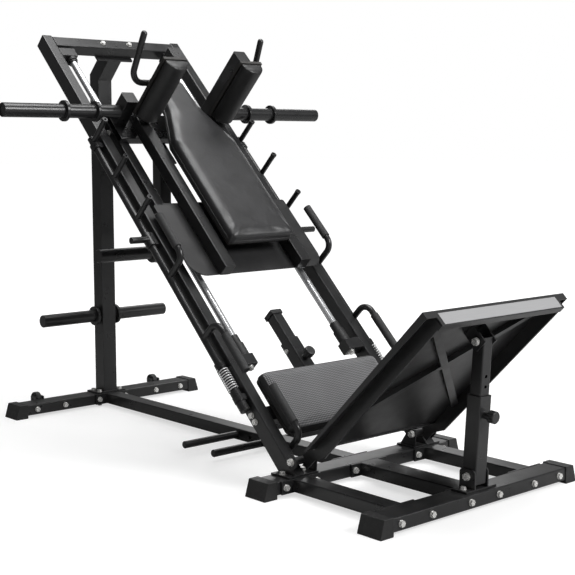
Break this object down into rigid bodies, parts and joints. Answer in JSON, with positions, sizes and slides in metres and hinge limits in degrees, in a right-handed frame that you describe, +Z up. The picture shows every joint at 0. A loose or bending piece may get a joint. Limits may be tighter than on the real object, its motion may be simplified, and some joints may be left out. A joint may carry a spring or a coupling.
{
  "type": "hack squat machine",
  "caption": "Inclined plate-loaded squat and leg press machine with a padded sliding carriage, swing-out safety bars, tilting footplate, sliding seat and plate storage horns.",
  "frame": {"origin": "on the floor, at the middle of the machine's bounding box", "axes": "+Z up, +Y towards the tall upright, -Y towards the footplate, +X to the right of somebody looking along +Y"},
  "size_m": [1.398, 2.0954, 1.4368],
  "materials": {
    "frame_paint": "satin black powder coat",
    "carriage_paint": "satin black powder coat",
    "plate_paint": "satin black powder coat with light scuffs",
    "bolt_zinc": "bright zinc",
    "rod_chrome": "polished",
    "spring_steel": "bright drawn wire",
    "trim_metal": "brushed",
    "cap_rubber": "matte",
    "bumper_rubber": "matte",
    "plug_plastic": "fine grain",
    "knob_plastic": "fine grain",
    "bearing_plastic": "smooth",
    "grip_foam": "matte foam",
    "pad_vinyl": "satin vinyl",
    "shoulder_vinyl": "satin vinyl",
    "seat_fabric": "woven",
    "pad_board": "black stained",
    "wheel_rubber": "matte"
  },
  "bodies": {
    "frame": {"rear_stabilizer": "frame_paint", "mid_stabilizer": "frame_paint", "front_stabilizer": "frame_paint", "end_caps": "cap_rubber", "base_tubes": "frame_paint", "centre_beam": "frame_paint", "floor_band_pegs": "frame_paint", "rear_upright": "frame_paint", "top_crossbar": "frame_paint", "rail_left": "frame_paint", "rail_right": "frame_paint", "tube_plugs": "plug_plastic", "lower_tie": "frame_paint", "upper_tie": "frame_paint", "storage_horns": "frame_paint", "guide_rods": "rod_chrome", "rod_blocks": "frame_paint", "rod_bumpers": "bumper_rubber", "bar_bushings": "frame_paint", "seat_stem": "frame_paint", "seat_handles": "frame_paint", "seat_handle_grips": "grip_foam", "hinge_lugs": "frame_paint", "post_bracket": "frame_paint", "frame_bolts": "bolt_zinc", "wheel_brackets": "frame_paint"},
    "carriage": {"carriage_frame": "carriage_paint", "carriage_side_tubes": "carriage_paint", "carriage_posts": "carriage_paint", "bearing_housings": "carriage_paint", "linear_bearings": "bearing_plastic", "leg_press_plate": "plate_paint", "weight_horn_left": "carriage_paint", "weight_horn_right": "carriage_paint", "back_board": "pad_board", "back_pad": "pad_vinyl", "shoulder_boards": "pad_board", "shoulder_pad_left": "shoulder_vinyl", "shoulder_pad_right": "shoulder_vinyl", "j_handles": "carriage_paint", "carriage_bolts": "bolt_zinc"},
    "bar_left": {"safety_bar_left": "frame_paint", "bar_grips_left": "grip_foam", "bar_spring_left": "spring_steel"},
    "bar_right": {"safety_bar_right": "frame_paint", "bar_grips_right": "grip_foam", "bar_spring_right": "spring_steel"},
    "footplate": {"footplate_tray": "plate_paint", "footplate_frame": "plate_paint", "trim_strip": "trim_metal"},
    "post_lower": {"post_outer": "frame_paint"},
    "post_upper": {"post_inner": "frame_paint"},
    "post_knob": {"post_pin": "knob_plastic"},
    "seat": {"seat_sleeve": "frame_paint", "seat_board": "pad_board", "seat_pad": "seat_fabric", "seat_bolt": "bolt_zinc"},
    "seat_knob": {"seat_pin": "knob_plastic"},
    "wheel_l": {"wheel_left": "wheel_rubber"},
    "wheel_r": {"wheel_right": "wheel_rubber"}
  },
  "joints": [
    {"name": "carriage_slide", "type": "slide", "parent": "frame", "child": "carriage", "axis": [0, 0.7071, 0.7071], "range_m": [0, 0.3]},
    {"name": "bar_left_turn", "type": "hinge", "parent": "frame", "child": "bar_left", "pos_m": [-0.331, 0.12606, 0.66822], "axis": [0, -0.7071, -0.7071], "range_deg": [0, 50]},
    {"name": "bar_right_turn", "type": "hinge", "parent": "frame", "child": "bar_right", "pos_m": [0.331, 0.12606, 0.66822], "axis": [0, 0.7071, 0.7071], "range_deg": [0, 50]},
    {"name": "footplate_tilt", "type": "hinge", "parent": "frame", "child": "footplate", "pos_m": [0, -0.50626, 0.096], "axis": [1, 0, 0], "range_deg": [-5, 8]},
    {"name": "post_tilt", "type": "hinge", "parent": "frame", "child": "post_lower", "pos_m": [0, -0.94126, 0.09], "axis": [1, 0, 0], "range_deg": [-5.45, 8.71]},
    {"name": "post_extend", "type": "slide", "parent": "post_lower", "child": "post_upper", "axis": [0, -0.0624, 0.9981], "range_m": [-0.0605, 0.0379]},
    {"name": "post_knob_pull", "type": "slide", "parent": "post_lower", "child": "post_knob", "axis": [0, -0.9981, -0.0624], "range_m": [0, 0.015]},
    {"name": "seat_slide", "type": "slide", "parent": "frame", "child": "seat", "axis": [0, 0.7071, 0.7071], "range_m": [0, 0.05]},
    {"name": "seat_knob_pull", "type": "slide", "parent": "seat", "child": "seat_knob", "axis": [0, -0.7071, 0.7071], "range_m": [0, 0.015]},
    {"name": "wheel_left_spin", "type": "hinge", "parent": "frame", "child": "wheel_l", "pos_m": [-0.278, 1.02174, 0.046], "axis": [1, 0, 0], "continuous": true},
    {"name": "wheel_right_spin", "type": "hinge", "parent": "frame", "child": "wheel_r", "pos_m": [0.278, 1.02174, 0.046], "axis": [1, 0, 0], "continuous": true}
  ],
  "couplings": [
    {"joint": "post_tilt", "follows": "footplate_tilt", "ratio": 1.0877},
    {"joint": "post_extend", "follows": "footplate_tilt", "m_per_rad": -0.43236}
  ]
}
